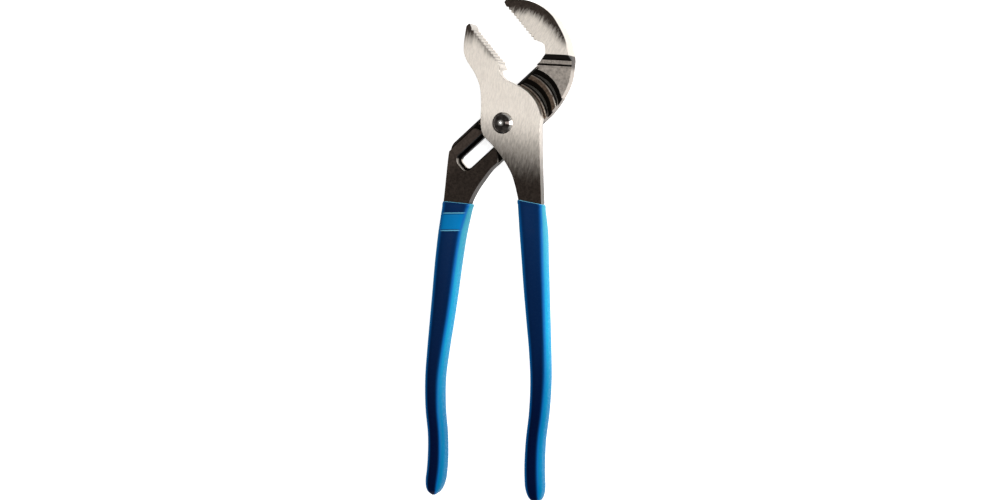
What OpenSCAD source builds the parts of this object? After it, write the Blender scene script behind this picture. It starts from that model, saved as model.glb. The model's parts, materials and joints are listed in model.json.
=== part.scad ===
// Tongue-and-groove pliers, lying on their back: +Y points to the jaws, +Z to the
// bolt head, and the origin is on the pivot axis at the nut's flat back face.

/* [Jaws] */
// Length of the toothed face of each jaw
jaw_length = 25; // [20:0.5:32]
// Thickness of both jaws, from back face to front face
jaw_thickness = 12; // [10.5:0.1:16]
// Distance from one jaw tooth to the next
tooth_pitch = 2.05; // [1.5:0.05:3]
// Height of a jaw tooth, from root to crest
tooth_depth = 0.9; // [0.4:0.05:1.1]
// Opening between the two toothed faces in the rest groove
rest_opening = 22; // [18:0.5:28]

/* [Bridge] */
// Width of the slotted bridge that carries the grooves
bridge_width = 24; // [23:0.5:30]
// Thickness of the bridge, at the tops of its lands
bridge_thickness = 6.4; // [5.5:0.1:8]
// Direction of the slot, measured from straight across the tool
slot_angle = 40.5; // [38:0.5:43]
// Distance the bolt moves from one groove to the next
groove_pitch = 7; // [5.8:0.1:8.4]
// Depth of the grooves below the lands
groove_depth = 2.4; // [1.6:0.1:3.2]
// Width of a land's flat top, at the slot axis
land_width = 2.4; // [1.4:0.1:2.8]
// Width of the open lane beside the ends of the lands
lane_width = 2.2; // [1.9:0.1:3]
// Width of the shallow relief around the slot's front edge
slot_relief = 1.5; // [0.6:0.1:1.9]

/* [Tongue] */
// Radius of the tongue's middle line about the pivot
tongue_radius = 18; // [17:0.1:21.6]
// Width of the tongue, which fills one groove
tongue_width = 2.4; // [2:0.1:3]
// Angle that the tongue runs to, past the slot direction
tongue_end_angle = 58; // [48:1:60]

/* [Pivot] */
// Diameter of the bolt's shank
bolt_d = 7; // [6:0.1:8.4]
// Diameter of the bolt's domed head
head_d = 11; // [9.4:0.1:13.2]
// Height of the bolt's head above the front face
head_height = 3.2; // [2.4:0.1:3.9]
// Width of the nut across its flats
nut_flats = 12; // [11:0.5:15]
// Thickness of the nut
nut_thickness = 3; // [2.4:0.1:4]

/* [Handles] */
// Distance from the pivot to the end of the longer handle
handle_length = 193.5; // [165:0.5:235]
// Distance from the pivot to the mouth of both grips
grip_mouth = 39.5; // [38:0.5:46]
// Thickness of the grip's wall at its mouth
mouth_wall = 0.8; // [0.6:0.1:1.5]
// Thickness of the grip's wall along the handle
grip_wall = 2.3; // [1.6:0.1:2.6]
// Length of solid plastic past the end of each tang
end_pad = 9; // [6:0.5:12]

/* [Fits] */
// Gap between the bridge and the plate that turns on it
face_gap = 0.1; // [0.05:0.05:0.3]
// Radial clearance of the bolt in the turning plate
bore_clearance = 0.05; // [0.02:0.01:0.1]
// Clearance of the bolt on each side of the slot
slot_clearance = 0.1; // [0.05:0.05:0.3]
// Clearance of the tongue on each side of its groove
groove_clearance = 0.2; // [0.1:0.05:0.3]
// Clearance between the resting tongue and the ends of the lands
lane_clearance = 0.3; // [0.2:0.05:0.6]
// Clearance between each tang and its grip
tang_clearance = 0.05; // [0.02:0.01:0.1]

/* [Hidden] */
$fn = 96;

steel = "#c9c2b8";
dark_chrome = "#2b2724";
vinyl = "#1450a0";

// Levels, from the nut's back face upwards
back_z = nut_thickness;
land_z = back_z + bridge_thickness;
floor_z = land_z - groove_depth;
plate_z = land_z + face_gap;
front_z = back_z + jaw_thickness;
plate_thickness = front_z - plate_z;
ledge_z = land_z - groove_depth / 2;

// The slot frame: s runs along the slot towards the jaws, v across it
along = [cos(slot_angle), sin(slot_angle)];
across = [-sin(slot_angle), cos(slot_angle)];
function sv(s, v) = s * along + v * across;

// Groove positions are the bolt's places along the slot, and rest is 0
grooves_below = 4;
grooves_above = 2;
positions = [for (k = [-grooves_below : grooves_above]) k * groove_pitch];
slot_low = -grooves_below * groove_pitch;
slot_high = grooves_above * groove_pitch;
slot_half = bolt_d / 2 + slot_clearance;
groove_in = tongue_radius - tongue_width / 2 - groove_clearance;
groove_out = tongue_radius + tongue_width / 2 + groove_clearance;
lane_v = bridge_width / 2 - lane_width;
slot_end = slot_low - slot_half - slot_relief;

// Jaw tooth line: direction from the throat to the tip
tooth_dir = [cos(130), sin(130)];
tooth_normal = [cos(40), sin(40)];
nominal_length = 25;
low_heel = [-2.15, 31];
high_heel = [17.6, 41.7];
drawn_opening = 22;
tooth_count = floor(jaw_length / tooth_pitch);
teeth_length = tooth_count * tooth_pitch;

// A jaw point past the throat moves out along the tooth line with jaw_length
function reach(p, heel) =
    let (d = (p - heel) * tooth_dir)
    p + tooth_dir * max(0, d) * (teeth_length / nominal_length - 1);
function stretch(points, heel) = [for (p = points) reach(p, heel)];

// The upper jaw moves away from the lower one with the rest opening
function lift(points) = [for (p = points) p + tooth_normal * (rest_opening - drawn_opening)];

// Tooth flanks from the throat to the tip; side is +1 or -1 for the facing side
function teeth(heel, side) =
    [for (i = [0 : tooth_count - 1], j = [0, 1])
        heel + tooth_dir * tooth_pitch * (i + j / 2)
        + tooth_normal * side * tooth_depth * (j - 0.5)];

function reversed(list) = [for (i = [len(list) - 1 : -1 : 0]) list[i]];

// A smooth curve through the given points, with n steps between two points
function blend4(a, b, c, d, t) =
    0.5 * (2 * b + (c - a) * t + (2 * a - 5 * b + 4 * c - d) * t * t
           + (3 * b - a - 3 * c + d) * t * t * t);
function curve(p, n = 5) =
    let (last = len(p) - 1)
    concat([for (i = [0 : last - 1], j = [0 : n - 1])
                blend4(p[max(i - 1, 0)], p[i], p[i + 1], p[min(i + 2, last)], j / n)],
           [p[last]]);

function arc(r, from, to, n = 16) =
    [for (i = [0 : n]) r * [cos(from + (to - from) * i / n), sin(from + (to - from) * i / n)]];

// Handle stations: [share of the way from mouth to end, x of the middle, half width of the grip]
grooved_stations = [[0, -27, 7.85], [0.1, -29.8, 7.15], [0.2, -31.9, 6.75], [0.3, -33.6, 6.35],
                    [0.4, -35.4, 5.85], [0.5, -37.3, 5.25], [0.6, -38.8, 4.75], [0.7, -38.7, 4.6],
                    [0.8, -37.3, 4.5], [0.9, -37.5, 4.65], [1, -39.5, 4.6]];
tongue_stations = [[0, 14.6, 6.95], [0.1, 15.8, 7], [0.2, 16.5, 6.6], [0.3, 17.2, 6.25],
                   [0.4, 18, 5.75], [0.5, 18.8, 5.25], [0.6, 19.1, 4.95], [0.7, 18.1, 4.75],
                   [0.8, 16.1, 4.65], [0.9, 15.4, 4.75], [1, 16.1, 4.6]];
grooved_length = handle_length - 3.2;
station_steps = 5;

// Fine stations: [y, x, half width] down a handle of the given length
function fine(stations, length) =
    [for (s = curve(stations, station_steps))
        [-grip_mouth - s[0] * (length - grip_mouth), s[1], s[2]]];

// The grip's wall thickens from its mouth over this length
wall_run = 16;
function wall(y) =
    mouth_wall + (grip_wall - mouth_wall) * min(1, max(0, (-grip_mouth - y) / wall_run));

// One edge of a tang, inside its grip; side is -1 for the left edge and +1 for the right
function tang_edge(stations, length, side, extra = 0) =
    [for (s = fine(stations, length)) if (s[0] > end_pad - length)
        [s[1] + side * (s[2] - wall(s[0]) + extra), s[0]]];

function tang_outline(stations, length, extra) =
    concat(tang_edge(stations, length, -1, extra), reversed(tang_edge(stations, length, 1, extra)));

// Both handles bend towards the middle plane, so that their ends lie level
mid_z = back_z + jaw_thickness / 2;
bend_y = -grip_mouth + 2;
function bend(middle_z) = (mid_z - middle_z) / (handle_length + bend_y);
grooved_slope = bend(back_z + bridge_thickness / 2);
tongue_slope = bend(plate_z + plate_thickness / 2);
beyond = 40;
through = 60;

// Side profile of a handle plate between two levels, with its bend
module side_profile(low, high, slope, extra = 0) {
    drop = slope * (handle_length + beyond + bend_y);
    rotate([90, 0, 90])
        linear_extrude(height = 4 * handle_length, center = true)
            polygon([[-handle_length - beyond, low + drop - extra], [bend_y, low - extra],
                     [handle_length, low - extra], [handle_length, high + extra],
                     [bend_y, high + extra], [-handle_length - beyond, high + drop + extra]]);
}

// Upper jaw, from the collar round the throat, the teeth and the curved back
upper_throat = [[22.9, 34.7], [22.9, 37.5], [22.5, 39.4], [21, 40.7], [19.2, 41.3]];
upper_tip = [[0.6, 62.2], [1.4, 63.3]];
upper_back = [[4, 63.6], [12.7, 62.7], [20.2, 59.5], [25.9, 54.9], [29.9, 49.1],
              [33.4, 41.9], [35.3, 33.75]];
function upper_jaw_points() =
    lift(concat(upper_throat, teeth(high_heel, -1),
                stretch(concat(upper_tip, curve(upper_back)), high_heel)));

// Side of the head, from the collar down to the bridge's rounded corner
head_side = [[35.5, 31.1], [35.1, 27.5], [34.4, 23], [33, 18.6], [31, 14.6]];
head_corner = [sv(29, 1.6 - bridge_width / 2), sv(25, 0.7 - bridge_width / 2),
               sv(20, -bridge_width / 2)];
head_top_s = 34.6;
inner_neck = [[-13, -28.5], [-16.2, -32.8], [-18.5, -36.6]];
function bridge_right_points() =
    concat(lift(curve(concat(head_side, head_corner), 3)),
           curve(concat([sv(-18, -bridge_width / 2), sv(-22, -bridge_width / 2)], inner_neck), 3));
function heel_points() =
    curve([[-33.3, -33], sv(slot_end - 2.5, 7), sv(slot_end + 3, bridge_width / 2 - 0.6),
           sv(slot_end + 7, bridge_width / 2)]);

// The collar joins the thick jaw to the thinner head; it flares down to it and falls to the right
collar_left = 19;
collar_low_y = 32.4;
collar_high_y = 35;
collar_fall = tan(4.4);
function fallen(x, y) = [x, y - (x - collar_left) * collar_fall];

module grooved_outline() {
    polygon(concat(upper_jaw_points(), bridge_right_points(),
                   tang_edge(grooved_stations, grooved_length, 1),
                   reversed(tang_edge(grooved_stations, grooved_length, -1)),
                   heel_points(),
                   [sv(head_top_s, bridge_width / 2), lift([[collar_left, collar_low_y]])[0]]));
}

module collar() {
    bottom = lift([fallen(collar_left, collar_low_y), fallen(22.9, collar_high_y),
                   fallen(35.3, collar_high_y), fallen(35.5, collar_low_y)]);
    top = lift([fallen(22.9, collar_high_y - 0.3), fallen(22.9, collar_high_y),
                fallen(35.3, collar_high_y), fallen(35.35, collar_high_y - 0.3)]);
    thin = 0.01;
    hull() {
        translate([0, 0, land_z - thin]) linear_extrude(height = thin) polygon(bottom);
        translate([0, 0, front_z - thin]) linear_extrude(height = thin) polygon(top);
    }
}

// A raised band crosses the head just below the collar
band_height = 0.7;
band_width = 2;
module collar_band() {
    low = collar_low_y - band_width;
    translate([0, 0, land_z])
        linear_extrude(height = band_height)
            polygon(lift([fallen(collar_left + 0.6, low + 0.3),
                          fallen(collar_left + 0.2, collar_low_y),
                          fallen(35.45, collar_low_y), fallen(35.2, low - 0.1)]));
}

module in_slot_frame() {
    rotate([0, 0, slot_angle]) children();
}

// The grooves open upwards, into the lane on one side and past the edge on the other
module groove_cuts() {
    for (s = positions) {
        in_slot_frame() translate([s, 0, floor_z]) linear_extrude(height = through)
            intersection() {
                difference() {
                    circle(r = groove_out);
                    circle(r = groove_in);
                }
                translate([0, -through]) square([through, through + lane_v + 0.1]);
            }
    }
}

// Behind each land its top steps down to a ledge beside the next groove
module ledge_cuts() {
    for (i = [0 : len(positions) - 2]) {
        in_slot_frame() translate([positions[i], 0, ledge_z]) linear_extrude(height = through)
            intersection() {
                difference() {
                    translate([groove_pitch, 0]) circle(r = groove_in + 0.1);
                    circle(r = groove_out + land_width);
                }
                translate([0, -through]) square([through, through + lane_v + 0.1]);
            }
    }
}

// The lane lets the tongue pass beside the lands while the bolt slides
lane_top_s = slot_high + tongue_radius;
lane_low_s = slot_end - 10;
module lane_cut() {
    in_slot_frame() translate([lane_low_s, lane_v, floor_z])
        cube([lane_top_s - lane_low_s, through, through]);
}

// A slot with rounded corners, for the shank or for its front relief
module slot_hole(half, corner, low, high) {
    in_slot_frame() linear_extrude(height = through) union() {
        translate([low + corner, -half]) square([high - low - corner, 2 * half]);
        translate([low, corner - half]) square([high - low, 2 * (half - corner)]);
        for (v = [corner - half, half - corner]) translate([low + corner, v]) circle(r = corner);
        translate([high, 0]) circle(r = half);
    }
}

slot_corner = 2.2;
relief_depth = 3.8;
module slot_cut() {
    translate([0, 0, -1])
        slot_hole(slot_half, slot_corner, slot_low - slot_half, slot_high);
    translate([0, 0, land_z - relief_depth])
        slot_hole(slot_half + slot_relief, slot_corner + slot_relief, slot_end, slot_high);
}

module grooved_jaw() {
    color(steel) difference() {
        union() {
            intersection() {
                translate([0, 0, -through]) linear_extrude(height = 3 * through) grooved_outline();
                side_profile(back_z, land_z, grooved_slope);
            }
            translate([0, 0, back_z]) linear_extrude(height = jaw_thickness)
                polygon(upper_jaw_points());
            collar();
            collar_band();
        }
        groove_cuts();
        ledge_cuts();
        lane_cut();
        slot_cut();
    }
}

// Lower jaw: its round shoulder reaches just past the groove that the tongue fills
shoulder_lap = 1.3;
shoulder_r = groove_out + shoulder_lap;
drawn_shoulder = 20.7;
throat_points = [[-1.3, 28.4], [-1.8, 26.8], [-1.2, 24.9], [0.3, 23], [2.4, 21.7], [4.8, 20.7]];
low_throat = [for (i = [0 : 5])
    throat_points[i] * (1 + i / 5 * (shoulder_r / drawn_shoulder - 1))];
low_tip = [[-18.3, 51.9], [-20, 50.5]];
low_back = [[-21.3, 42], [-21.3, 37.4], [-20, 33.3], [-17.4, 29.2], [-15, 25.4], [-12.9, 20.4],
            [-11.9, 15.4], [-11.7, 8], [-12, 1], [-11.2, -4.6], [-9.3, -7.6], [-5, -11.9],
            [-0.3, -17.6], [2.2, -21.4], [4.9, -26.5], [6.8, -32.5]];
right_edge = [[19.9, -1.5], [20, -12], [20.3, -26]];
function low_jaw_points() =
    concat(reversed(low_throat), teeth(low_heel, 1),
           stretch(concat(low_tip, curve(low_back, 4)), low_heel));

module tongue_outline() {
    polygon(concat(low_jaw_points(),
                   tang_edge(tongue_stations, handle_length, -1),
                   reversed(tang_edge(tongue_stations, handle_length, 1)),
                   reversed(right_edge),
                   arc(shoulder_r, 6, 71)));
}

// The jaw is full thickness only where it never passes over the bridge
thick_r = shoulder_r + 7;
module thick_jaw() {
    translate([0, 0, back_z]) linear_extrude(height = jaw_thickness)
        difference() {
            intersection() {
                tongue_outline();
                translate([-through, 0]) square([2 * through, 2 * through]);
            }
            circle(r = thick_r);
        }
}

// The tongue on the back of the plate, with its end cut parallel to the slot
module tongue() {
    low = floor_z + groove_clearance;
    in_slot_frame() translate([0, 0, low]) linear_extrude(height = plate_z - low + 0.5)
        intersection() {
            difference() {
                circle(r = tongue_radius + tongue_width / 2);
                circle(r = tongue_radius - tongue_width / 2);
            }
            translate([0, lane_v + lane_clearance]) square([through, through]);
            polygon([[0, 0], through * [1, 0], through * [1, 1],
                     through * [cos(tongue_end_angle), sin(tongue_end_angle)]]);
        }
}

module tongue_jaw() {
    color(steel) difference() {
        union() {
            intersection() {
                translate([0, 0, -through]) linear_extrude(height = 3 * through) tongue_outline();
                side_profile(plate_z, front_z, tongue_slope);
            }
            thick_jaw();
            tongue();
        }
        cylinder(h = 2 * through, d = bolt_d + 2 * bore_clearance, center = true);
    }
}

// The head is a round cap on a short straight rim, and the shank ends inside the nut
rim_height = 0.2;
seat_gap = 0.05;
shank_recess = 0.3;
module pivot_bolt() {
    dome = head_height - rim_height;
    cap_r = (head_d * head_d / 4 + dome * dome) / (2 * dome);
    rim_angle = acos((cap_r - dome) / cap_r);
    steps = 14;
    color(dark_chrome) {
        translate([0, 0, shank_recess]) cylinder(h = front_z + 1 - shank_recess, d = bolt_d);
        translate([0, 0, front_z]) rotate_extrude()
            polygon(concat([[0, seat_gap], [head_d / 2, seat_gap], [head_d / 2, rim_height]],
                           [for (i = [steps - 1 : -1 : 0])
                               let (a = rim_angle * i / steps)
                               [cap_r * sin(a), head_height - cap_r * (1 - cos(a))]]));
    }
}

module pivot_nut() {
    color(dark_chrome) difference() {
        intersection() {
            cylinder(h = nut_thickness - seat_gap, d = nut_flats / cos(30), $fn = 6);
            union() {
                cylinder(h = 0.5, d1 = nut_flats, d2 = nut_flats + 2.2);
                translate([0, 0, 0.5]) cylinder(h = nut_thickness, d = 2 * nut_flats);
            }
        }
        translate([0, 0, -1]) cylinder(h = nut_thickness + 2, d = bolt_d);
    }
}

// Grip: rounded rings along the handle, closed to a blunt end
ring_points = 20;
squareness = 2 / 3.2;
cap_run = 9;
function power(a) = sign(a) * pow(abs(a), squareness);
function cap(y, length) = let (t = max(0, (cap_run - length - y) / cap_run)) sqrt(1.03 - t * t);
function grip_ring(s, length, half_z, z, slope) =
    let (k = cap(s[0], length), b = half_z + wall(s[0]))
    [for (i = [0 : ring_points - 1])
        let (a = 360 * i / ring_points)
        [s[1] + k * s[2] * power(cos(a)), s[0],
         z + slope * max(0, bend_y - s[0]) + k * b * power(sin(a))]];

module grip_body(stations, length, low, high, slope) {
    rings = [for (s = fine(stations, length))
                grip_ring(s, length, (high - low) / 2, (high + low) / 2, slope)];
    count = len(rings);
    polyhedron(
        points = [for (ring = rings, p = ring) p],
        faces = concat(
            [[for (i = [0 : ring_points - 1]) i]],
            [for (r = [0 : count - 2], i = [0 : ring_points - 1], half = [0, 1])
                let (j = (i + 1) % ring_points, a = r * ring_points, b = a + ring_points)
                half == 0 ? [a + i, b + i, b + j] : [a + i, b + j, a + j]],
            [[for (i = [ring_points - 1 : -1 : 0]) (count - 1) * ring_points + i]]));
}

module grip(stations, length, low, high, slope) {
    color(vinyl) difference() {
        grip_body(stations, length, low, high, slope);
        intersection() {
            translate([0, 0, -through]) linear_extrude(height = 3 * through)
                polygon(tang_outline(stations, length, tang_clearance));
            side_profile(low, high, slope, tang_clearance);
        }
    }
}

module grooved_handle_grip() {
    grip(grooved_stations, grooved_length, back_z, land_z, grooved_slope);
}

module tongue_handle_grip() {
    grip(tongue_stations, handle_length, plate_z, front_z, tongue_slope);
}

grooved_jaw();
tongue_jaw();
pivot_bolt();
pivot_nut();
grooved_handle_grip();
tongue_handle_grip();
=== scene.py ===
import json
import math

import bmesh
import bpy
from mathutils import Matrix, Vector
from mathutils.bvhtree import BVHTree


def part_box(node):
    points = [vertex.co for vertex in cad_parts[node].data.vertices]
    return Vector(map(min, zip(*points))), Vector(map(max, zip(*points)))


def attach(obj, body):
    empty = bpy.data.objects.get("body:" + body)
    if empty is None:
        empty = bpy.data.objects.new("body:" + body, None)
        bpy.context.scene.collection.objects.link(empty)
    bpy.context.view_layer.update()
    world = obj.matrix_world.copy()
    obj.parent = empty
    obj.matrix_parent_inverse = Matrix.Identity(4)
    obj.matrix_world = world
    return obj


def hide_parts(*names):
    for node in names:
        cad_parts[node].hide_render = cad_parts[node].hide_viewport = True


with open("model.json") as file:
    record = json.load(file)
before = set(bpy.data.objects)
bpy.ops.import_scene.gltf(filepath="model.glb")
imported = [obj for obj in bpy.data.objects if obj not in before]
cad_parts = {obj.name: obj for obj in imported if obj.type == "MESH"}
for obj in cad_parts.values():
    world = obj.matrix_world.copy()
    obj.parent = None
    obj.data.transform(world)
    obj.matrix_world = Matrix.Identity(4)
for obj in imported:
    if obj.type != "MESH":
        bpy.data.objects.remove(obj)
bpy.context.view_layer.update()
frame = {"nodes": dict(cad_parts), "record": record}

MM = 0.001


# ---------------------------------------------------------------- the frame

def joint(name):
    return next(j for j in frame["record"]["behaviour"]["joints"] if j["name"] == name)


SLOT_DIR = Vector(joint("groove_shift")["axis"])
SLOT_SIDE = Vector((-SLOT_DIR.y, SLOT_DIR.x, 0))
BOLT_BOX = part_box("pivot_bolt")
NUT_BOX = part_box("pivot_nut")
UPPER_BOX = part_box("grooved_jaw")
FRONT_Z = UPPER_BOX[1][2]
BACK_Z = UPPER_BOX[0][2]


# ---------------------------------------------------------------- camera

VIEW_WIDTH = 0.510       # metres that the picture's width spans at the object
VIEW_CENTRE = (-1.35 * MM, -64.8 * MM, FRONT_Z)
CAMERA_RIGHT = math.radians(19)
CAMERA_LOW = math.radians(1.35)
CAMERA_FAR = 1.7
CLIP = (0.05, 20)
SENSOR = 36


def make_camera():
    way = Vector((math.sin(CAMERA_RIGHT) * math.cos(CAMERA_LOW), -math.sin(CAMERA_LOW),
                  math.cos(CAMERA_RIGHT) * math.cos(CAMERA_LOW)))
    right = Vector((0, 1, 0)).cross(way).normalized()
    up = way.cross(right)
    data = bpy.data.cameras.new("camera")
    data.sensor_width = SENSOR
    data.lens = SENSOR * CAMERA_FAR / VIEW_WIDTH
    data.clip_start, data.clip_end = CLIP
    camera = bpy.data.objects.new("camera", data)
    turn = Matrix((right, up, way)).transposed().to_4x4()
    camera.matrix_world = Matrix.Translation(Vector(VIEW_CENTRE) + way * CAMERA_FAR) @ turn
    bpy.context.scene.collection.objects.link(camera)
    bpy.context.scene.camera = camera


# ---------------------------------------------------------------- light and floor

LIGHT_TARGET = (0, -0.06, 0.01)
WORLD_COLOUR = (1.0, 0.99, 0.97, 1)
WORLD_STRENGTH = 0.34
FLOOR_HALF = 3.0
FLOOR_Z = -0.0002
FLOOR_COLOUR = (0.9, 0.9, 0.9, 1)
FLOOR_ROUGHNESS = 0.9
FLOOR_GLOW = 0.78        # keeps the floor as pale as the white it stands for


def area_light(name, place, width, height, watts):
    """A rectangular lamp that faces the middle of the tool."""
    data = bpy.data.lights.new(name, "AREA")
    data.shape = "RECTANGLE"
    data.size = width
    data.size_y = height
    data.energy = watts
    lamp = bpy.data.objects.new(name, data)
    lamp.location = place
    aim = Vector(LIGHT_TARGET) - Vector(place)
    lamp.rotation_euler = aim.to_track_quat("-Z", "Y").to_euler()
    bpy.context.scene.collection.objects.link(lamp)


def make_light():
    area_light("key_right", (0.9, 0.05, 0.24), width=0.4, height=2.2, watts=25)
    area_light("edge_right", (0.75, 0.0, 0.85), width=0.3, height=0.6, watts=0.8)
    area_light("front_softbox", (-0.36, 0.06, 1.05), width=0.14, height=0.14, watts=0.50)
    world = bpy.data.worlds.new("studio")
    world.use_nodes = True
    back = world.node_tree.nodes["Background"]
    back.inputs["Color"].default_value = WORLD_COLOUR
    back.inputs["Strength"].default_value = WORLD_STRENGTH
    bpy.context.scene.world = world
    bpy.context.scene.view_settings.view_transform = "Standard"


def make_floor():
    mesh = bpy.data.meshes.new("floor")
    bm = bmesh.new()
    bmesh.ops.create_grid(bm, x_segments=1, y_segments=1, size=FLOOR_HALF)
    bm.to_mesh(mesh)
    bm.free()
    floor = bpy.data.objects.new("floor", mesh)
    floor.location.z = FLOOR_Z
    bpy.context.scene.collection.objects.link(floor)
    mat = bpy.data.materials.new("floor_white")
    mat.use_nodes = True
    bsdf = mat.node_tree.nodes["Principled BSDF"]
    bsdf.inputs["Base Color"].default_value = FLOOR_COLOUR
    bsdf.inputs["Roughness"].default_value = FLOOR_ROUGHNESS
    bsdf.inputs["Emission Color"].default_value = (1, 1, 1, 1)
    bsdf.inputs["Emission Strength"].default_value = FLOOR_GLOW
    mesh.materials.append(mat)


# ---------------------------------------------------------------- node helpers

MIX_FACTOR, MIX_A, MIX_B = 0, 6, 7       # a colour mix's inputs
MIX_RESULT = 2                           # and its output


class Graph:
    """A material's node tree, with short names for the nodes it is built from."""

    def __init__(self, name):
        self.mat = bpy.data.materials.new(name)
        self.mat.use_nodes = True
        self.tree = self.mat.node_tree
        self.bsdf = self.tree.nodes["Principled BSDF"]
        self.place = self.node("ShaderNodeTexCoord").outputs["Object"]
        split = self.node("ShaderNodeSeparateXYZ")
        self.link(self.place, split.inputs[0])
        self.x, self.y, self.z = split.outputs
        facing = self.node("ShaderNodeSeparateXYZ")
        self.link(self.node("ShaderNodeTexCoord").outputs["Normal"], facing.inputs[0])
        self.nx, self.ny, self.nz = facing.outputs

    def node(self, kind, **settings):
        node = self.tree.nodes.new(kind)
        for key, value in settings.items():
            setattr(node, key, value)
        return node

    def link(self, source, target):
        if isinstance(source, (int, float)):
            target.default_value = source
        elif isinstance(source, tuple):
            target.default_value = source if len(source) == 4 or len(target.default_value) == 3 \
                else (*source, 1)
        else:
            self.tree.links.new(source, target)

    def maths(self, what, *values):
        node = self.node("ShaderNodeMath", operation=what)
        for value, socket in zip(values, node.inputs):
            self.link(value, socket)
        return node.outputs[0]

    def add(self, a, b):
        return self.maths("ADD", a, b)

    def times(self, a, b):
        return self.maths("MULTIPLY", a, b)

    def most(self, a, b):
        return self.maths("MAXIMUM", a, b)

    def size(self, a):
        return self.maths("ABSOLUTE", a)

    def inverse(self, a):
        return self.maths("SUBTRACT", 1.0, a)

    def step(self, value, low, high):
        """0 below low and 1 above high, or the other way round where low is the larger."""
        node = self.node("ShaderNodeMapRange", interpolation_type="SMOOTHSTEP")
        self.link(value, node.inputs[0])
        a, b, start, end = (low, high, 0.0, 1.0) if low < high else (high, low, 1.0, 0.0)
        for i, number in enumerate((a, b, start, end)):
            node.inputs[i + 1].default_value = number
        return node.outputs[0]

    def between(self, value, rise, fall):
        """1 where value is past rise and short of fall, each a pair of step's ends."""
        return self.times(self.step(value, *rise), self.step(value, *fall))

    def along(self, direction, start=(0, 0)):
        """Distance from start along a direction in the plane of the tool."""
        run = self.add(self.times(self.x, direction[0]), self.times(self.y, direction[1]))
        offset = start[0] * direction[0] + start[1] * direction[1]
        return self.add(run, -offset) if offset else run

    def facing(self, direction):
        """How far the surface faces a direction in the plane of the tool."""
        return self.add(self.times(self.nx, direction[0]), self.times(self.ny, direction[1]))

    def distance(self, x, y):
        """Distance from a line through (x, y) that is square to the tool's face."""
        dx = self.maths("SUBTRACT", self.x, x)
        dy = self.maths("SUBTRACT", self.y, y)
        return self.maths("SQRT", self.add(self.times(dx, dx), self.times(dy, dy)))

    def noise(self, scale, detail=3.0, rough=0.55, stretch=(1, 1, 1), turn=0.0):
        place = self.place
        if stretch != (1, 1, 1) or turn:
            node = self.node("ShaderNodeMapping")
            self.link(place, node.inputs["Vector"])
            node.inputs["Rotation"].default_value = (0, 0, turn)
            inner = self.node("ShaderNodeVectorMath", operation="MULTIPLY")
            self.link(node.outputs[0], inner.inputs[0])
            inner.inputs[1].default_value = stretch
            place = inner.outputs[0]
        node = self.node("ShaderNodeTexNoise")
        self.link(place, node.inputs["Vector"])
        node.inputs["Scale"].default_value = scale
        node.inputs["Detail"].default_value = detail
        node.inputs["Roughness"].default_value = rough
        return node.outputs["Fac"]

    def mix(self, factor, a, b, blend="MIX"):
        node = self.node("ShaderNodeMix", data_type="RGBA", blend_type=blend)
        self.link(factor, node.inputs[MIX_FACTOR])
        self.link(a, node.inputs[MIX_A])
        self.link(b, node.inputs[MIX_B])
        return node.outputs[MIX_RESULT]

    def bump(self, height, distance, strength=1.0, before=None):
        node = self.node("ShaderNodeBump")
        self.link(height, node.inputs["Height"])
        node.inputs["Distance"].default_value = distance
        node.inputs["Strength"].default_value = strength
        if before:
            self.link(before, node.inputs["Normal"])
        return node.outputs[0]

    def shade(self, **sockets):
        for name, value in sockets.items():
            self.link(value, self.bsdf.inputs[name.replace("_", " ").title().replace("Ior", "IOR")])
        return self.mat


# ---------------------------------------------------------------- materials

TOOTH_TURN = math.radians(40)
TOOTH_NORMAL = (math.cos(TOOTH_TURN), math.sin(TOOTH_TURN))
TOOTH_RUN = (-TOOTH_NORMAL[1], TOOTH_NORMAL[0])
TOOTH_PITCH = 0.00205
TEETH_LENGTH = 0.0252
LOW_HEEL = (-0.00215, 0.031)     # where each row of teeth starts
HIGH_HEEL = (0.0176, 0.0417)

BRIGHT = (0.75, 0.69, 0.62)
GREY = (0.42, 0.375, 0.335)
BROWN = (0.115, 0.082, 0.060)
LEDGE = (0.066, 0.064, 0.058)
LIT_WALL = (0.30, 0.265, 0.235)
DARK = (0.030, 0.023, 0.019)
BLACK = (0.006, 0.005, 0.004)


def shaded(colour, share):
    return tuple(share * c for c in colour)


def grain(g, turn):
    """Grinding marks: fine scratches and broader streaks, along one direction."""
    fine = g.noise(520, 4, 0.7, (2.6, 0.6, 1.0), turn)
    broad = g.noise(300, 3, 0.6, (2.4, 0.4, 1.0), turn)
    return fine, broad


def speckle(g, colour, scale, low, high):
    """A colour with fine lighter and darker specks."""
    return g.mix(g.step(g.noise(scale, 3, 0.65), 0.3, 0.7), shaded(colour, low),
                 shaded(colour, high))


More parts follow.
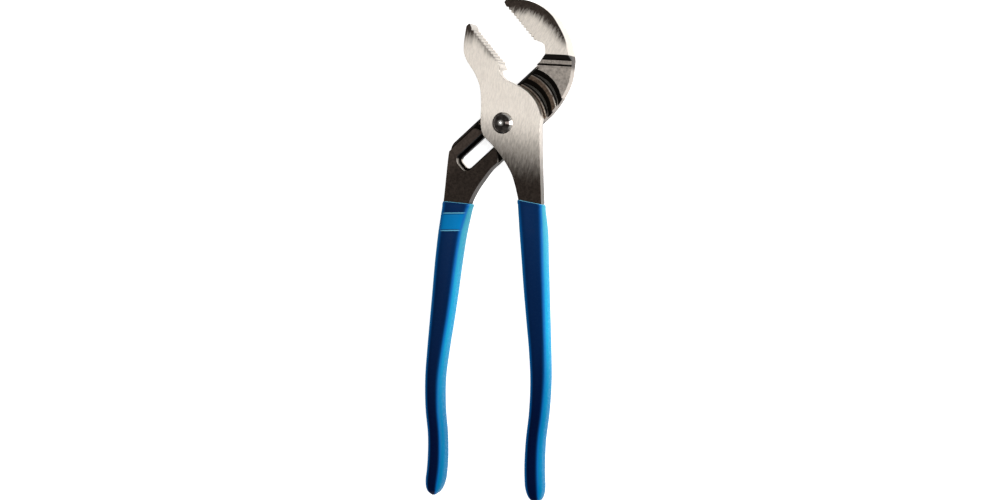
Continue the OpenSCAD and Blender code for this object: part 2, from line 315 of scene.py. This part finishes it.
def steel(name, bright_mask, dark_mask, black_mask, turn, details):
    """Ground steel where bright_mask is 1, fading to forging skin, and black painted as shadow in
    recesses.

    details paints the jaw's own marks, and its painted highlights and shade, over both."""
    g = Graph(name)
    fine, broad = grain(g, turn)
    blotch = g.noise(170, 4, 0.6)
    bright = g.mix(g.step(fine, 0.3, 0.7), shaded(BRIGHT, 0.80), shaded(BRIGHT, 1.08))
    bright = g.mix(g.times(g.step(broad, 0.45, 0.75), 0.35), bright, shaded(BRIGHT, 0.72))
    bright = g.mix(g.times(g.step(blotch, 0.45, 0.75), 0.25), bright, shaded(BRIGHT, 0.66))
    skin = speckle(g, DARK, 900, 0.85, 1.65)
    ragged = g.add(g.add(g.times(fine, 0.55), g.times(broad, 0.45)), -0.5)
    polish = bright_mask(g, ragged)
    colour = g.mix(polish, skin, bright)
    colour = details(g, colour)
    colour = g.mix(dark_mask(g, ragged), colour, skin)
    colour = g.mix(black_mask(g), colour, BLACK)
    rough = g.add(g.times(g.inverse(polish), 0.12), g.add(0.27, g.times(fine, 0.14)))
    normal = g.bump(fine, 0.00002, 0.4)
    normal = g.bump(g.noise(500, 4, 0.6), 0.00006, 0.25, normal)
    return g.shade(base_color=colour, metallic=1.0, roughness=rough, normal=normal)


def tooth_root_shade(g, heel, side):
    """Painted shade in the roots of a jaw's teeth; side is 1 for the lower jaw and -1 for the
    upper.
    """
    off = g.times(g.along(TOOTH_NORMAL, heel), side)
    run = g.along(TOOTH_RUN, heel)
    wave = g.maths("COSINE", g.times(run, 2 * math.pi / TOOTH_PITCH))
    deep = g.between(off, (-0.0012, -0.0002), (0.0006, 0.0001))
    rough = g.step(g.noise(900, 2, 0.6), 0.35, 0.6)
    root_shade = g.times(g.times(deep, g.step(wave, 0.1, 0.8)), g.add(0.4, g.times(rough, 0.6)))
    row = g.between(run, (-0.0003, 0.0003), (TEETH_LENGTH, TEETH_LENGTH - 0.0007))
    return g.times(root_shade, row)


def front_face(g):
    """1 on a forging's front face, fading down its sides."""
    return g.step(g.z, FRONT_Z - 0.0012, FRONT_Z - 0.0004)


def lower_details(g, colour):
    """Painted shade in the roots of its teeth, and painted shade dulling its edge faces."""
    # painted shade on the faces that turn away from the front
    edge = g.step(g.size(g.nz), 0.6, 0.3)
    colour = g.mix(g.times(edge, 0.35), colour, shaded(BRIGHT, 0.45))
    return g.mix(g.times(tooth_root_shade(g, LOW_HEEL, 1), 0.8), colour, shaded(BRIGHT, 0.16))


def lower_bright(g, ragged):
    """The lower jaw is ground from its tip to just below the bolt."""
    y = g.add(g.add(g.y, g.times(g.x, 0.3)), g.times(ragged, 0.020))
    return g.step(y, -0.0277, 0.0062)


def lower_dark(g, ragged):
    """Its tip and the strip beside its teeth are darker."""
    tip = g.step(g.add(g.y, g.times(ragged, 0.012)), 0.0390, 0.0485)
    side = g.add(g.along(TOOTH_NORMAL), g.times(ragged, 0.012))
    beside = g.times(g.step(side, 0.0140, 0.0185), g.step(g.y, 0.0310, 0.0350))
    front = front_face(g)
    return g.times(g.most(tip, g.times(beside, 0.6)), g.add(0.2, g.times(front, 0.8)))


def lower_black(g):
    """The back of the plate, round the tongue, is painted black as the shadow between the two
    halves.
    """
    return g.times(g.step(g.z, 0.0101, 0.0098), g.step(g.distance(0, 0), 0.0238, 0.0233))


UPPER_CENTRE = (0.007, 0.036)    # of the upper jaw's curved back
LAND_Z = 0.0094                  # levels of the bridge
LEDGE_Z = 0.0082
BRIDGE_HALF = 0.012
COLLAR = (0.0324, 0.0350)        # heights up the head, as fallen() measures them
BAND_LINE = 0.0300
FALL = math.tan(math.radians(4.4))
FALL_X = 0.019
PITCH = 0.007
GROOVE_IN = 0.0166       # radii of a groove about its place on the slot
GROOVE_OUT = 0.0194
LAND_OUT = 0.0218        # outer radius of the land beside it
GROOVES = range(-4, 3)   # counted from the rest groove, up the slot
HIGHEST = PITCH * GROOVES[-1]
LOWEST = PITCH * GROOVES[0]


def ring(g, k):
    """Distance from the bolt's place in groove k."""
    return g.distance(SLOT_DIR.x * PITCH * k, SLOT_DIR.y * PITCH * k)


def grooved_part(g):
    """1 from the lowest groove to the highest, and 0 past them."""
    along = g.along(SLOT_DIR)
    under = g.most(g.step(ring(g, GROOVES[-1]), GROOVE_OUT + 0.0001, GROOVE_OUT - 0.0001),
                   g.step(along, HIGHEST + 0.0001, HIGHEST - 0.0001))
    over = g.times(g.step(ring(g, GROOVES[0]), GROOVE_IN - 0.0001, GROOVE_IN + 0.0001),
                   g.step(along, LOWEST, LOWEST + 0.0002))
    return g.times(under, over)


def fallen(g):
    """Height up the head, in lines that fall to the right as the collar does."""
    return g.add(g.y, g.times(g.add(g.x, -FALL_X), FALL))


def upper_bright(g, _ragged):
    """The upper jaw is ground above the collar, up to a clean line."""
    return g.step(fallen(g), COLLAR[1] - 0.0001, COLLAR[1] + 0.0002)


def upper_dark(g, ragged):
    """A dark strip follows the jaw's curved back and widens to its tip."""
    r = g.add(g.distance(*UPPER_CENTRE), g.times(g.add(g.y, -0.055), 0.22))
    r = g.add(r, g.times(ragged, 0.013))
    back = g.step(r, 0.0178, 0.0243)
    fade = g.step(g.y, 0.036, 0.043)
    return g.times(g.times(back, fade), front_face(g))


def upper_details(g, colour):
    """Brown lands with painted highlights on their edges, dark ledges with painted shadow at the
    lands' feet, walls painted pale as lit, painted shade on the head's right side, and the head's
    grey field.
    """
    along = g.along(SLOT_DIR)
    across = g.along(SLOT_SIDE)
    up = g.step(g.nz, 0.5, 0.8)
    height = fallen(g)
    body = g.inverse(g.step(height, COLLAR[1] - 0.0002, COLLAR[1]))
    # the open face between the lane and the slot is a lighter brown
    lit = g.times(g.step(across, -0.002, 0.007), g.step(g.y, 0.004, -0.004))
    colour = g.mix(g.times(lit, up), colour, speckle(g, DARK, 900, 1.7, 2.9))
    grooved = grooved_part(g)
    high = g.step(g.z, LAND_Z - 0.0006, LAND_Z - 0.0003)
    land = g.times(g.times(grooved, high), up)
    colour = g.mix(land, colour, speckle(g, BROWN, 800, 0.6, 1.5))
    ledge = g.times(g.times(grooved, g.inverse(high)), up)
    colour = g.mix(ledge, colour, speckle(g, LEDGE, 800, 0.7, 1.3))
    # a painted highlight along each land's outer edge, strongest towards one end of the bridge, and
    # painted shadow on the ledge at each land's foot
    edge_highlight = 0.0
    shadow = 0.0
    for k in GROOVES[:-1]:
        r = ring(g, k)
        edge = g.between(r, (LAND_OUT - 0.0006, LAND_OUT - 0.0002),
                         (LAND_OUT + 0.0003, LAND_OUT + 0.0001))
        edge_highlight = g.most(edge, edge_highlight)
        foot = g.between(r, (LAND_OUT, LAND_OUT + 0.0001),
                         (LAND_OUT + 0.0009, LAND_OUT + 0.0006))
        shadow = g.most(foot, shadow)
    colour = g.mix(g.times(ledge, shadow), colour, BLACK)
    highlight_share = g.add(0.25, g.times(g.step(across, 0.004, -0.009), 0.75))
    highlight_share = g.times(highlight_share, g.step(g.noise(500, 3, 0.6), 0.30, 0.55))
    colour = g.mix(g.times(g.times(edge_highlight, highlight_share), g.times(grooved, high)), colour,
                   shaded(BRIGHT, 0.9))
    # flat field of the head, its band, and a soft line of painted shade at the band's foot
    field = g.times(g.inverse(grooved), g.step(along, 0.020, 0.021))
    field = g.times(field, body)
    grey = speckle(g, GREY, 700, 0.72, 1.26)
    band_foot_shade = g.between(height, (0.0282, 0.0287), (0.0293, 0.0288))
    grey = g.mix(g.times(band_foot_shade, 0.35), grey, shaded(GREY, 0.5))
    colour = g.mix(field, colour, grey)
    # walls that face along the slot are painted pale as lit, and the slot's end gets a painted
    # highlight
    lit_wall = g.times(g.step(g.facing(SLOT_DIR), 0.45, 0.75), g.step(g.z, LAND_Z, LAND_Z - 0.0002))
    inside = g.step(g.size(across), BRIDGE_HALF - 0.0001, BRIDGE_HALF - 0.0003)
    inside = g.times(lit_wall, inside)
    colour = g.mix(g.times(inside, body), colour, LIT_WALL)
    end = g.times(inside, g.step(along, LOWEST - 0.0010, LOWEST - 0.0012))
    colour = g.mix(end, colour, BRIGHT)
    # painted shade makes the head's right side duller than its face, and dark beside the collar and
    # band
    beside = g.times(g.step(g.nx, 0.4, 0.7), g.step(along, HIGHEST, HIGHEST + 0.002))
    colour = g.mix(g.times(beside, 0.5), colour, GREY)
    banded = g.times(g.step(height, 0.0265, BAND_LINE), body)
    colour = g.mix(g.times(beside, banded), colour, speckle(g, DARK, 900, 1.2, 2.2))
    return g.mix(g.times(tooth_root_shade(g, HIGH_HEEL, -1), 0.8), colour, shaded(BRIGHT, 0.16))


def upper_black(g):
    """Black: painted shadow on the groove and lane floors and the slot's relief, and black on the
    collar and the line under the band.
    """
    up = g.step(g.nz, 0.4, 0.7)
    low = g.between(g.z, (BACK_Z + 0.0002, BACK_Z + 0.0005),
                    (LEDGE_Z - 0.00020, LEDGE_Z - 0.00025))
    across = g.along(SLOT_SIDE)
    under = g.most(g.step(ring(g, GROOVES[-1]), GROOVE_OUT + 0.0010, GROOVE_OUT + 0.0009),
                   g.step(g.along(SLOT_DIR), HIGHEST + 0.0001, HIGHEST - 0.0001))
    floor_shadow = g.times(g.times(low, up), under)
    # the painted shadow is lighter along a line inside the lane's edge
    rim = g.between(across, (BRIDGE_HALF - 0.0010, BRIDGE_HALF - 0.0008),
                    (BRIDGE_HALF - 0.0004, BRIDGE_HALF - 0.0006))
    floor_shadow = g.times(floor_shadow, g.inverse(g.times(rim, 0.8)))
    # the slot's long walls are in shadow
    dim = g.times(g.step(g.size(across), 0.0056, 0.0053), g.step(g.size(g.nz), 0.4, 0.2))
    dim = g.times(dim, g.step(g.size(g.facing(SLOT_SIDE)), 0.7, 0.9))
    height = fallen(g)
    collar = g.between(height, (COLLAR[0] - 0.0001, COLLAR[0] + 0.0001),
                       (COLLAR[1] + 0.0001, COLLAR[1] - 0.0001))
    line = g.between(height, (BAND_LINE - 0.0006, BAND_LINE - 0.0004),
                     (BAND_LINE + 0.0006, BAND_LINE + 0.0004))
    top = g.step(g.z, LAND_Z - 0.0009, LAND_Z - 0.0006)
    return g.most(g.most(floor_shadow, g.times(dim, under)), g.times(g.most(collar, line), top))


PLATING = (0.030, 0.024, 0.022)
WORN_PLATING = (0.13, 0.115, 0.105)
CROWN_HIGHLIGHT = (0.95, 0.93, 0.90)
RIM_HIGHLIGHT = (0.85, 0.82, 0.78)


def dark_chrome():
    """Polished dark plating, with a painted highlight at the crown and a painted reflection along
    one side of the rim.
    """
    g = Graph("dark_chrome")
    r = g.add(g.distance(0, 0), g.times(g.add(g.noise(500, 3, 0.6), -0.5), 0.0014))
    wear = g.noise(420, 4, 0.6)
    colour = g.mix(g.step(wear, 0.35, 0.7), PLATING, WORN_PLATING)
    # painted highlight at the crown
    crown_highlight = g.step(r, 0.0019, 0.0005)
    colour = g.mix(crown_highlight, colour, CROWN_HIGHLIGHT)
    # painted reflection along one side of the rim
    highlight_side = g.step(g.along((1, 0.45)), 0.0012, 0.0040)
    rim = g.times(g.step(r, 0.0041, 0.0047), highlight_side)
    rim = g.times(rim, g.step(g.z, FRONT_Z, FRONT_Z + 0.0003))
    colour = g.mix(rim, colour, RIM_HIGHLIGHT)
    rough = g.add(g.add(0.09, g.times(crown_highlight, 0.07)), g.times(g.noise(900, 3, 0.6), 0.07))
    return g.shade(base_color=colour, metallic=1.0, roughness=rough,
                   normal=g.bump(g.noise(1400, 3, 0.6), 0.00001, 0.2))


# each grip's blues at its mouth, its middle and its end, painted shaded on the front and lit on the
# sides
SHADED_FRONT_BLUES = ((0.0022, 0.0200, 0.080), (0.0011, 0.0135, 0.060), (0.0004, 0.0045, 0.030))
LIT_SIDE_BLUES = ((0.040, 0.26, 0.35), (0.008, 0.25, 0.44), (0.0003, 0.125, 0.26))
PATCH_BLUE = (0.002, 0.17, 0.43)
# painted half-light between the shaded front and the lit sides
HALF_LIT_BLUE = (0.0012, 0.105, 0.36)
# a painted highlight for the raised lines and the mouth's rim
HIGHLIGHT_BLUE = (0.16, 0.55, 0.78)


def down_handle(g, down, blues):
    """Colours that deepen from the grip's mouth to its end."""
    colour = g.mix(g.step(down, 0.005, 0.055), blues[0], blues[1])
    return g.mix(g.step(down, 0.055, 0.120), colour, blues[2])


def vinyl(name, mouth, lines=()):
    """Dipped vinyl: a blue skin, with painted light round the sides of the handle and a painted
    highlight at its mouth.

    lines are the places below the mouth of two raised lines, each with a painted highlight, and a
    patch between them."""
    g = Graph(name)
    flow = g.add(g.times(g.noise(60, 3, 0.5, (1, 0.35, 1)), 0.5), 0.75)
    down = g.maths("SUBTRACT", mouth, g.y)
    colour = down_handle(g, down, SHADED_FRONT_BLUES)
    side = down_handle(g, down, LIT_SIDE_BLUES)
    if lines:
        upward = g.step(g.nz, 0.6, 0.85)
        patch = g.between(down, (lines[0] + 0.0003, lines[0] + 0.0010),
                          (lines[1] - 0.0003, lines[1] - 0.0010))
        colour = g.mix(g.times(patch, upward), colour, PATCH_BLUE)
        for at in lines:
            # a painted highlight along each raised line
            line_highlight = g.step(g.size(g.add(down, -at)), 0.0004, 0.0001)
            colour = g.mix(g.times(g.times(line_highlight, upward), 0.7), colour, HIGHLIGHT_BLUE)
    # the painted light on the sides reaches further across the front, to the right, down the handle
    turned = g.size(g.nx)
    far = g.step(down, 0.05, 0.12)
    for either_side, right_side, blue in (((0.15, 0.55), (0.04, 0.40), HALF_LIT_BLUE),
                                          ((0.45, 0.92), (0.22, 0.70), side)):
        lower = g.times(far, g.step(g.nx, *right_side))
        colour = g.mix(g.most(g.step(turned, *either_side), lower), colour, blue)
    # a painted highlight on faces turned towards the mouth
    colour = g.mix(g.step(g.ny, 0.35, 0.8), colour, HIGHLIGHT_BLUE)
    rough = g.add(0.22, g.times(g.noise(500, 3, 0.6), 0.1))
    peel = g.noise(260, 2, 0.5)
    return g.shade(base_color=g.mix(1.0, colour, flow, "MULTIPLY"), roughness=rough,
                   normal=g.bump(peel, 0.00003, 0.1), specular_ior_level=0.025)


# ---------------------------------------------------------------- pieces

SMOOTH_ANGLE = 32        # degrees below which an edge is shaded smooth
FACE_WEIGHT = 100        # how far large faces lead the shading


def new_object(name, bm, mat, body, node):
    """An object with this mesh that rides on a body and stands for a CAD node."""
    mesh = bpy.data.meshes.new(name)
    bm.to_mesh(mesh)
    bm.free()
    piece = bpy.data.objects.new(name, mesh)
    bpy.context.scene.collection.objects.link(piece)
    mesh.materials.append(mat)
    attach(piece, body)
    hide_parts(node)
    return piece


def make_active(piece):
    for o in bpy.context.selected_objects:
        o.select_set(False)
    piece.select_set(True)
    bpy.context.view_layer.objects.active = piece


def smooth_by_angle(piece, degrees=SMOOTH_ANGLE):
    make_active(piece)
    bpy.ops.object.shade_smooth_by_angle(angle=math.radians(degrees))
    piece.select_set(False)
    weighted = piece.modifiers.new("weighted", "WEIGHTED_NORMAL")
    weighted.keep_sharp = True
    weighted.weight = FACE_WEIGHT


SHARP = math.radians(24)         # edges over this angle are rounded
FLAT = math.radians(0.3)         # and faces within this one are joined
MERGE = 0.000002
TOOTH_SHARE = 0.25               # of the rounding's width
INNER_SHARE = 0.2
LEVEL_GAP = 0.0001
COLLAR_X = 0.015
COLLAR_Y = (0.031, 0.0365)
SETTLE_SHARE = 0.4
ROUND_SEGMENTS = 2


def rounding_share(point, fine):
    """The share of the rounding that a sharp edge gets, from its middle point."""
    if not fine:
        return 1.0
    if point.x > COLLAR_X and COLLAR_Y[0] < point.y < COLLAR_Y[1]:
        return 0.0
    if BACK_Z + LEVEL_GAP < point.z < FRONT_Z - LEVEL_GAP:
        return INNER_SHARE
    return TOOTH_SHARE if fine(point) else 1.0


def weighted_copy(node, fine=None):
    """The CAD node's mesh with its flat faces whole, and a weight on its sharp edges.

    Edges for which fine is true, such as those of the teeth, get a small weight, and so
    do the edges between a forging's front and back. The collar's stay sharp."""
    bm = bmesh.new()
    bm.from_mesh(frame["nodes"][node].data)
    bmesh.ops.remove_doubles(bm, verts=bm.verts, dist=MERGE)
    bmesh.ops.dissolve_limit(bm, angle_limit=FLAT, verts=bm.verts, edges=bm.edges)
    weight = bm.edges.layers.float.new("bevel_weight_edge")
    for edge in bm.edges:
        if len(edge.link_faces) == 2 and edge.calc_face_angle() > SHARP:
            middle = (edge.verts[0].co + edge.verts[1].co) / 2
            edge[weight] = rounding_share(middle, fine)
    return bm


def settle(piece, node, reach):
    """Bring any point that rounding threw further than reach off the CAD surface back to it."""
    solid = frame["nodes"][node].data
    surface = BVHTree.FromPolygons([v.co for v in solid.vertices],
                                   [tuple(p.vertices) for p in solid.polygons])
    for vertex in piece.data.vertices:
        nearest, _, _, gap = surface.find_nearest(vertex.co)
        if gap > reach:
            vertex.co = nearest


def make_rounded(name, node, mat, body, width, fine=None):
    """A piece with the CAD node's shape and its sharp edges rounded to a width."""
    piece = new_object(name, weighted_copy(node, fine), mat, body, node)
    bevel = piece.modifiers.new("round", "BEVEL")
    bevel.limit_method = "WEIGHT"
    bevel.offset_type = "OFFSET"
    bevel.width = width
    bevel.segments = ROUND_SEGMENTS
    bevel.use_clamp_overlap = False
    make_active(piece)
    bpy.ops.object.modifier_apply(modifier="round")
    settle(piece, node, width * SETTLE_SHARE)
    smooth_by_angle(piece)


TOOTH_HEIGHT = 0.0009
TEETH_START = 0.0235             # along both jaws' toothed faces, from the bolt
UPPER_FACE = 0.0403              # distances of those faces from the bolt
LOWER_FACE = 0.0183


def beside_teeth(face):
    """A test for points within a tooth's height of a jaw's toothed face."""
    def test(point):
        off = point.x * TOOTH_NORMAL[0] + point.y * TOOTH_NORMAL[1] - face
        along = point.x * TOOTH_RUN[0] + point.y * TOOTH_RUN[1]
        return abs(off) < TOOTH_HEIGHT and along > TEETH_START
    return test


def make_jaws():
    upper = steel("grooved_steel", upper_bright, upper_dark, upper_black,
                  turn=math.radians(28), details=upper_details)
    make_rounded("grooved_forging", "grooved_jaw", upper, "grooved_half",
                 width=0.00025, fine=beside_teeth(UPPER_FACE))
    lower = steel("tongue_steel", lower_bright, lower_dark, lower_black,
                  turn=math.radians(8), details=lower_details)
    make_rounded("tongue_forging", "tongue_jaw", lower, "tongue_half",
                 width=0.0003, fine=beside_teeth(LOWER_FACE))


def lathe(profile, steps):
    """A closed turned solid from (radius, z) points that start and end on the axis."""
    bm = bmesh.new()
    rings = []
    turns = [2 * math.pi * i / steps for i in range(steps)]
    for r, z in profile:
        places = [(r * math.cos(a), r * math.sin(a), z) for a in turns] if r else [(0, 0, z)]
        rings.append([bm.verts.new(place) for place in places])
    for low, high in zip(rings, rings[1:]):
        for i in range(steps):
            j = (i + 1) % steps
            if len(low) == 1:
                bm.faces.new((low[0], high[j], high[i]))
            elif len(high) == 1:
                bm.faces.new((low[i], low[j], high[0]))
            else:
                bm.faces.new((low[i], low[j], high[j], high[i]))
    for face in bm.faces:
        face.smooth = True
    return bm


SHANK_R = 0.00349
WAIST_R = 0.00338
SHANK_CHAMFER = 0.0003
WAIST_FALL = 0.0002
RIM_GAP = 0.00005        # under the head, and its lower corner
RIM_HEIGHT = 0.0002
CAP_STEPS = 24
BOLT_STEPS = 96
BOLT_SMOOTH = 40


def make_bolt(mat):
    """Round cap on a short straight rim, and a shank that is relieved where it slides."""
    head_r = BOLT_BOX[1][0]
    low, top = BOLT_BOX[0][2], BOLT_BOX[1][2]
    nut_top = NUT_BOX[1][2]
    rim_low = FRONT_Z + RIM_GAP
    profile = [(0, low), (SHANK_R - SHANK_CHAMFER, low), (SHANK_R, low + SHANK_CHAMFER),
               (SHANK_R, nut_top - WAIST_FALL), (WAIST_R, nut_top), (WAIST_R, rim_low),
               (head_r - RIM_GAP, rim_low), (head_r, rim_low + RIM_GAP)]
    dome = top - FRONT_Z - RIM_HEIGHT
    cap_r = (head_r ** 2 + dome ** 2) / (2 * dome)
    edge = math.asin(head_r / cap_r)
    for i in range(CAP_STEPS):
        a = edge * (1 - i / CAP_STEPS)
        profile.append((cap_r * math.sin(a), top - cap_r * (1 - math.cos(a))))
    profile.append((0, top))
    piece = new_object("domed_bolt", lathe(profile, BOLT_STEPS), mat, "pivot", "pivot_bolt")
    smooth_by_angle(piece, BOLT_SMOOTH)


def make_nut(mat):
    make_rounded("hex_nut", "pivot_nut", mat, "pivot", width=0.00015)


# ---------------------------------------------------------------- grips

RING = 56                # points round the skin
FINER = 4                # rings for each of the CAD's
SQUARE = 2 / 3.6         # power that squares the section, as the CAD grip's is
CAD_RING_POINTS = 20     # rows of fewer points are not rings


def cad_rings(node):
    """Middle and half sizes of the CAD grip at each of its rings, from mouth to end."""
    rows = {}
    for v in frame["nodes"][node].data.vertices:
        rows.setdefault(round(v.co.y, 6), set()).add(tuple(round(c, 6) for c in v.co))
    rings = []
    for y in sorted(rows, reverse=True):
        if len(rows[y]) < CAD_RING_POINTS:
            continue
        xs, _, zs = zip(*rows[y])
        rings.append((y, (max(xs) + min(xs)) / 2, (max(zs) + min(zs)) / 2,
                      (max(xs) - min(xs)) / 2, (max(zs) - min(zs)) / 2))
    return rings


def spline(a, b, c, d, t):
    """A point between b and c on the smooth curve through a, b, c and d."""
    return 0.5 * (2 * b + (c - a) * t + (2 * a - 5 * b + 4 * c - d) * t * t
                  + (3 * b - a - 3 * c + d) * t ** 3)


def finer(rings, steps):
    """More rings between the CAD ones, on a smooth curve through them."""
    out = []
    last = len(rings) - 1
    for i in range(last):
        four = [rings[max(i - 1, 0)], rings[i], rings[i + 1], rings[min(i + 2, last)]]
        for j in range(steps):
            out.append(tuple(spline(*(r[k] for r in four), j / steps) for k in range(5)))
    out.append(rings[last])
    return out


def power(value, exponent):
    """A power that keeps the sign."""
    return math.copysign(abs(value) ** exponent, value)


LIP_PLACE = 0.00096      # the swelling below the mouth
LIP_SPREAD = 0.0008
LIP_HEIGHT = 0.00018
LINE_SPREAD = 0.00045    # the raised lines
LINE_HEIGHT = 0.00022
SLANT_REACH = 0.02       # how far down the mouth's slant is felt
MOUTH_ROLL = ((0.97, 0.00025), (0.90, 0.0003), (0.80, 0.0001))   # (share of ring, rise)


def swell(down, place, spread, height):
    """A smooth swelling's height, at a distance below the mouth."""
    return height * math.exp(-((down - place) / spread) ** 2)


def join_rings(bm, low, high):
    for i in range(RING):
        j = (i + 1) % RING
        bm.faces.new((low[j], low[i], high[i], high[j]))


def make_grip(name, node, body, mat, slope, lines=()):
    """A dipped sleeve lofted through the CAD grip's rings, with a rolled, slanted mouth."""
    rings = finer(cad_rings(node), FINER)
    mouth = rings[0][0]
    bm = bmesh.new()
    loops = []
    for y, x, z, half_x, half_z in rings:
        down = mouth - y
        lip = swell(down, LIP_PLACE, LIP_SPREAD, LIP_HEIGHT)
        lift = sum(swell(down, at, LINE_SPREAD, LINE_HEIGHT) for at in lines)
        slant = slope * max(0.0, 1 - down / SLANT_REACH)
        loop = []
        for i in range(RING):
            a = 2 * math.pi * i / RING
            cx, cz = power(math.cos(a), SQUARE), power(math.sin(a), SQUARE)
            front = max(0.0, math.sin(a)) ** 0.5 if lines else 0.0
            px = x + (half_x + lip) * cx
            pz = z + (half_z + lip + lift * front) * cz
            loop.append(bm.verts.new((px, y - slant * half_x * (cx + 1), pz)))
        loops.append(loop)
    for low, high in zip(loops, loops[1:]):
        join_rings(bm, low, high)
    # the mouth rolls inwards over the steel
    _, x, z, _, _ = rings[0]
    inner = loops[0]
    for share, rise in MOUTH_ROLL:
        loop = [bm.verts.new((x + (v.co.x - x) * share, v.co.y + rise,
                              z + (v.co.z - z) * share)) for v in loops[0]]
        join_rings(bm, loop, inner)
        inner = loop
    bm.faces.new(inner)
    bm.faces.new(list(reversed(loops[-1])))
    for face in bm.faces:
        face.smooth = True
    bmesh.ops.recalc_face_normals(bm, faces=bm.faces)
    new_object(name, bm, mat, body, node)


RAISED_LINES = (0.006, 0.015)    # distances below the grooved half's grip mouth


def make_grips():
    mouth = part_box("grooved_handle_grip")[1][1]
    make_grip("grooved_grip_skin", "grooved_handle_grip", "grooved_half",
              vinyl("vinyl_grooved", mouth, RAISED_LINES), slope=0.10, lines=RAISED_LINES)
    make_grip("tongue_grip_skin", "tongue_handle_grip", "tongue_half",
              vinyl("vinyl_tongue", mouth), slope=0.19)


# ---------------------------------------------------------------- the scene

make_camera()
make_light()
make_floor()
make_jaws()
CHROME = dark_chrome()
make_bolt(CHROME)
make_nut(CHROME)
make_grips()
